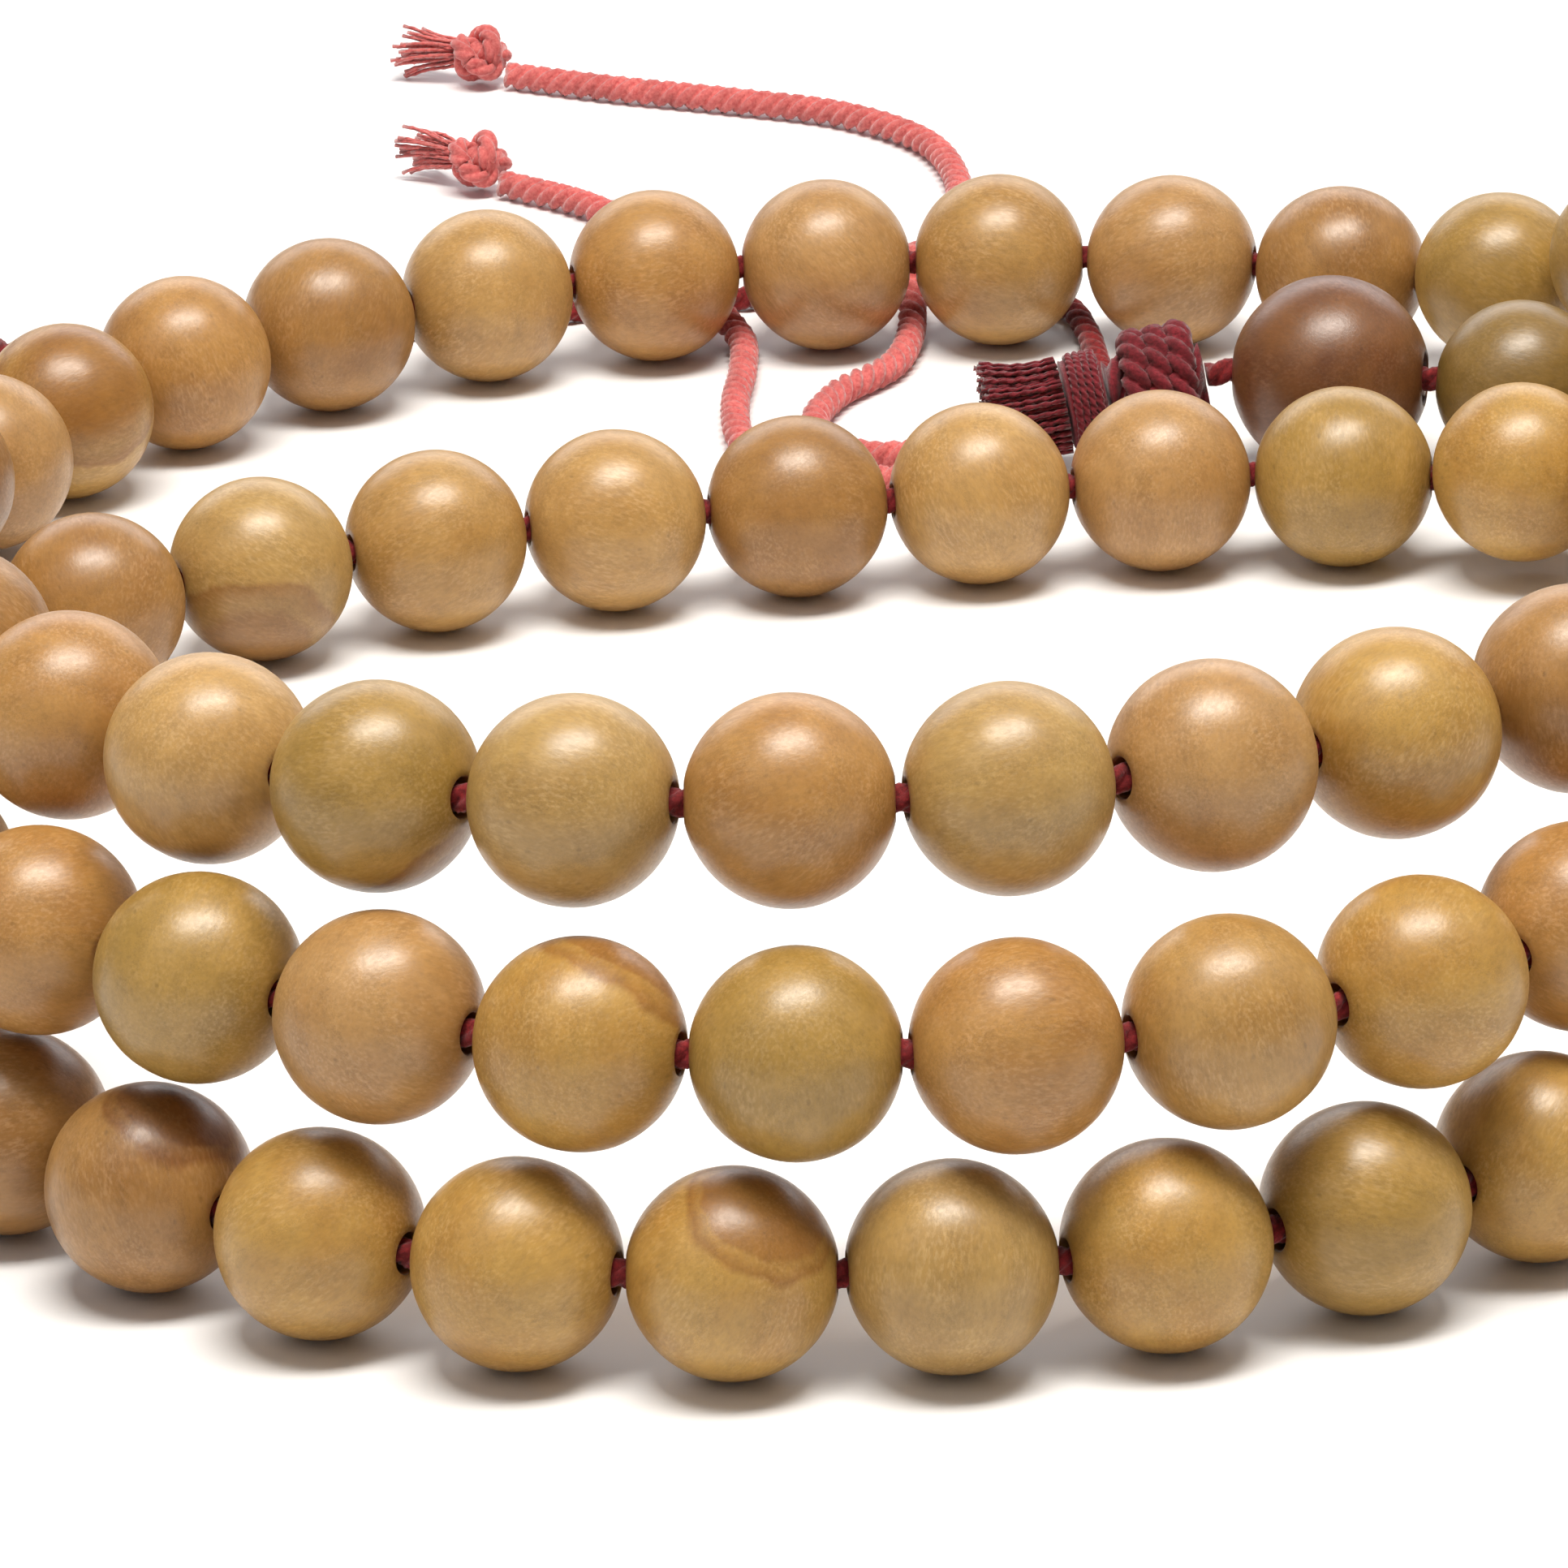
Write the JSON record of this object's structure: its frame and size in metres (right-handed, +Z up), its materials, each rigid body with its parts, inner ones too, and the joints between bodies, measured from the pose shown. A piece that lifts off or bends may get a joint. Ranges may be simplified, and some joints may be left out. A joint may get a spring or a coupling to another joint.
{
  "type": "prayer bead string",
  "caption": "Turned wooden prayer beads threaded on a red cord, coiled in three turns on a surface, closed by a larger bead, a wrapped knot, a short tassel and two loose tails.",
  "frame": {"origin": "middle of the bottom of the box round the coiled beads and their string, on the surface they lie on", "axes": "+X to the right along the front rows, +Y away from the front rows to the tassel, +Z up"},
  "size_m": [0.1094, 0.1634, 0.0243],
  "materials": {
    "wood_light": "turned and lightly polished, satin",
    "wood_mid": "turned and lightly polished, satin",
    "wood_dark": "turned and lightly polished, satin",
    "cord_red": "twisted thread, matte",
    "tassel_maroon": "bound threads, matte",
    "tail_red": "soft thread, matte"
  },
  "bodies": {
    "strand": {"beads_right_floor": "wood_light", "beads_left_floor": "wood_light", "beads_back_climb": "wood_light", "beads_left_down": "wood_light", "beads_back_far": "wood_light", "beads_right_high": "wood_light", "beads_left_last": "wood_light", "string_cord": "cord_red", "wrapped_knot": "tassel_maroon", "tassel_binding": "tassel_maroon", "tassel_skirt": "tassel_maroon", "long_tail": "tail_red", "short_tail": "tail_red", "long_tail_knot": "tail_red", "short_tail_knot": "tail_red"},
    "bead_low_01": {"bead_low_01": "wood_light"},
    "bead_low_02": {"bead_low_02": "wood_light"},
    "bead_low_03": {"bead_low_03": "wood_mid"},
    "bead_low_04": {"bead_low_04": "wood_light"},
    "bead_low_05": {"bead_low_05": "wood_light"},
    "bead_low_06": {"bead_low_06": "wood_mid"},
    "bead_low_07": {"bead_low_07": "wood_light"},
    "bead_low_08": {"bead_low_08": "wood_light"},
    "bead_low_09": {"bead_low_09": "wood_mid"},
    "bead_low_10": {"bead_low_10": "wood_light"},
    "bead_low_11": {"bead_low_11": "wood_light"},
    "bead_low_12": {"bead_low_12": "wood_mid"},
    "bead_mid_01": {"bead_mid_01": "wood_light"},
    "bead_mid_02": {"bead_mid_02": "wood_mid"},
    "bead_mid_03": {"bead_mid_03": "wood_light"},
    "bead_mid_04": {"bead_mid_04": "wood_light"},
    "bead_mid_05": {"bead_mid_05": "wood_mid"},
    "bead_mid_06": {"bead_mid_06": "wood_light"},
    "bead_mid_07": {"bead_mid_07": "wood_light"},
    "bead_mid_08": {"bead_mid_08": "wood_mid"},
    "bead_mid_09": {"bead_mid_09": "wood_light"},
    "bead_mid_10": {"bead_mid_10": "wood_light"},
    "bead_mid_11": {"bead_mid_11": "wood_mid"},
    "bead_mid_12": {"bead_mid_12": "wood_light"},
    "bead_top_01": {"bead_top_01": "wood_light"},
    "bead_top_02": {"bead_top_02": "wood_light"},
    "bead_top_03": {"bead_top_03": "wood_mid"},
    "bead_top_04": {"bead_top_04": "wood_light"},
    "bead_top_05": {"bead_top_05": "wood_light"},
    "bead_top_06": {"bead_top_06": "wood_mid"},
    "bead_top_07": {"bead_top_07": "wood_light"},
    "bead_top_08": {"bead_top_08": "wood_light"},
    "bead_top_09": {"bead_top_09": "wood_mid"},
    "bead_top_10": {"bead_top_10": "wood_light"},
    "bead_top_11": {"bead_top_11": "wood_light"},
    "bead_top_12": {"bead_top_12": "wood_mid"},
    "guru_bead": {"guru_bead": "wood_dark"}
  },
  "joints": [
    {"name": "bead_low_01_spin", "type": "hinge", "parent": "strand", "child": "bead_low_01", "pos_m": [0.04006, -0.03724, 0.004], "axis": [-0.428, -0.9038, 0], "continuous": true},
    {"name": "bead_low_02_spin", "type": "hinge", "parent": "strand", "child": "bead_low_02", "pos_m": [0.0358, -0.04403, 0.004], "axis": [-0.6275, -0.7786, 0], "continuous": true},
    {"name": "bead_low_03_spin", "type": "hinge", "parent": "strand", "child": "bead_low_03", "pos_m": [0.03012, -0.0497, 0.004], "axis": [-0.7795, -0.6264, 0], "continuous": true},
    {"name": "bead_low_04_spin", "type": "hinge", "parent": "strand", "child": "bead_low_04", "pos_m": [0.02337, -0.05406, 0.004], "axis": [-0.8921, -0.4519, 0], "continuous": true},
    {"name": "bead_low_05_spin", "type": "hinge", "parent": "strand", "child": "bead_low_05", "pos_m": [0.01588, -0.05698, 0.004], "axis": [-0.9623, -0.272, 0], "continuous": true},
    {"name": "bead_low_06_spin", "type": "hinge", "parent": "strand", "child": "bead_low_06", "pos_m": [0.00797, -0.05839, 0.004], "axis": [-0.9971, -0.0764, 0], "continuous": true},
    {"name": "bead_low_07_spin", "type": "hinge", "parent": "strand", "child": "bead_low_07", "pos_m": [-0.00009, -0.05847, 0.004], "axis": [-0.9985, 0.0552, 0], "continuous": true},
    {"name": "bead_low_08_spin", "type": "hinge", "parent": "strand", "child": "bead_low_08", "pos_m": [-0.00799, -0.05711, 0.004], "axis": [-0.9589, 0.2836, 0], "continuous": true},
    {"name": "bead_low_09_spin", "type": "hinge", "parent": "strand", "child": "bead_low_09", "pos_m": [-0.01533, -0.05388, 0.004], "axis": [-0.8575, 0.5145, 0], "continuous": true},
    {"name": "bead_low_10_spin", "type": "hinge", "parent": "strand", "child": "bead_low_10", "pos_m": [-0.02184, -0.04916, 0.004], "axis": [-0.7557, 0.655, 0], "continuous": true},
    {"name": "bead_low_11_spin", "type": "hinge", "parent": "strand", "child": "bead_low_11", "pos_m": [-0.02749, -0.04343, 0.004], "axis": [-0.6435, 0.7654, 0], "continuous": true},
    {"name": "bead_low_12_spin", "type": "hinge", "parent": "strand", "child": "bead_low_12", "pos_m": [-0.03211, -0.03686, 0.004], "axis": [-0.5025, 0.8646, 0], "continuous": true},
    {"name": "bead_mid_01_spin", "type": "hinge", "parent": "strand", "child": "bead_mid_01", "pos_m": [0.04107, -0.03356, 0.01212], "axis": [-0.4422, -0.8968, -0.0099], "continuous": true},
    {"name": "bead_mid_02_spin", "type": "hinge", "parent": "strand", "child": "bead_mid_02", "pos_m": [0.03702, -0.04051, 0.01206], "axis": [-0.5615, -0.8275, -0.0047], "continuous": true},
    {"name": "bead_mid_03_spin", "type": "hinge", "parent": "strand", "child": "bead_mid_03", "pos_m": [0.03193, -0.04674, 0.01204], "axis": [-0.6991, -0.7151, 0.0015], "continuous": true},
    {"name": "bead_mid_04_spin", "type": "hinge", "parent": "strand", "child": "bead_mid_04", "pos_m": [0.02565, -0.05172, 0.01205], "axis": [-0.855, -0.5186, -0.0001], "continuous": true},
    {"name": "bead_mid_05_spin", "type": "hinge", "parent": "strand", "child": "bead_mid_05", "pos_m": [0.01835, -0.05506, 0.01205], "axis": [-0.9513, -0.3083, 0], "continuous": true},
    {"name": "bead_mid_06_spin", "type": "hinge", "parent": "strand", "child": "bead_mid_06", "pos_m": [0.0105, -0.05679, 0.01205], "axis": [-0.9928, -0.1198, 0], "continuous": true},
    {"name": "bead_mid_07_spin", "type": "hinge", "parent": "strand", "child": "bead_mid_07", "pos_m": [0.00246, -0.057, 0.01205], "axis": [-0.9977, 0.0675, 0], "continuous": true},
    {"name": "bead_mid_08_spin", "type": "hinge", "parent": "strand", "child": "bead_mid_08", "pos_m": [-0.00543, -0.05557, 0.01205], "axis": [-0.9576, 0.2881, 0], "continuous": true},
    {"name": "bead_mid_09_spin", "type": "hinge", "parent": "strand", "child": "bead_mid_09", "pos_m": [-0.01285, -0.05249, 0.01205], "axis": [-0.8801, 0.4747, 0], "continuous": true},
    {"name": "bead_mid_10_spin", "type": "hinge", "parent": "strand", "child": "bead_mid_10", "pos_m": [-0.01969, -0.04824, 0.01205], "axis": [-0.8162, 0.5777, 0], "continuous": true},
    {"name": "bead_mid_11_spin", "type": "hinge", "parent": "strand", "child": "bead_mid_11", "pos_m": [-0.02591, -0.04313, 0.01205], "axis": [-0.7243, 0.6894, 0], "continuous": true},
    {"name": "bead_mid_12_spin", "type": "hinge", "parent": "strand", "child": "bead_mid_12", "pos_m": [-0.03105, -0.03698, 0.01205], "axis": [-0.549, 0.8358, 0], "continuous": true},
    {"name": "bead_top_01_spin", "type": "hinge", "parent": "strand", "child": "bead_top_01", "pos_m": [0.04356, -0.03034, 0.02015], "axis": [-0.4668, -0.8843, -0.0097], "continuous": true},
    {"name": "bead_top_02_spin", "type": "hinge", "parent": "strand", "child": "bead_top_02", "pos_m": [0.03869, -0.03663, 0.01989], "axis": [-0.7393, -0.6713, -0.0526], "continuous": true},
    {"name": "bead_top_03_spin", "type": "hinge", "parent": "strand", "child": "bead_top_03", "pos_m": [0.03214, -0.04119, 0.01945], "axis": [-0.8852, -0.4616, -0.058], "continuous": true},
    {"name": "bead_top_04_spin", "type": "hinge", "parent": "strand", "child": "bead_top_04", "pos_m": [0.02512, -0.04515, 0.01937], "axis": [-0.8541, -0.5187, 0.0394], "continuous": true},
    {"name": "bead_top_05_spin", "type": "hinge", "parent": "strand", "child": "bead_top_05", "pos_m": [0.01809, -0.04905, 0.01981], "axis": [-0.8908, -0.4492, 0.0685], "continuous": true},
    {"name": "bead_top_06_spin", "type": "hinge", "parent": "strand", "child": "bead_top_06", "pos_m": [0.01051, -0.05155, 0.02007], "axis": [-0.9854, -0.1703, -0.0022], "continuous": true},
    {"name": "bead_top_07_spin", "type": "hinge", "parent": "strand", "child": "bead_top_07", "pos_m": [0.00248, -0.05217, 0.02008], "axis": [-0.9998, 0.0176, 0.0033], "continuous": true},
    {"name": "bead_top_08_spin", "type": "hinge", "parent": "strand", "child": "bead_top_08", "pos_m": [-0.00548, -0.05109, 0.01989], "axis": [-0.9674, 0.2484, -0.0501], "continuous": true},
    {"name": "bead_top_09_spin", "type": "hinge", "parent": "strand", "child": "bead_top_09", "pos_m": [-0.01281, -0.04795, 0.01941], "axis": [-0.8463, 0.5281, -0.0695], "continuous": true},
    {"name": "bead_top_10_spin", "type": "hinge", "parent": "strand", "child": "bead_top_10", "pos_m": [-0.01921, -0.04312, 0.01881], "axis": [-0.7389, 0.6693, -0.0771], "continuous": true},
    {"name": "bead_top_11_spin", "type": "hinge", "parent": "strand", "child": "bead_top_11", "pos_m": [-0.0248, -0.03734, 0.01847], "axis": [-0.6466, 0.7628, -0.0074], "continuous": true},
    {"name": "bead_top_12_spin", "type": "hinge", "parent": "strand", "child": "bead_top_12", "pos_m": [-0.02959, -0.03092, 0.01889], "axis": [-0.5432, 0.8321, 0.1119], "continuous": true},
    {"name": "guru_bead_spin", "type": "hinge", "parent": "strand", "child": "guru_bead", "pos_m": [0.02727, 0.03736, 0.0045], "axis": [0.9843, -0.1768, 0], "continuous": true}
  ]
}
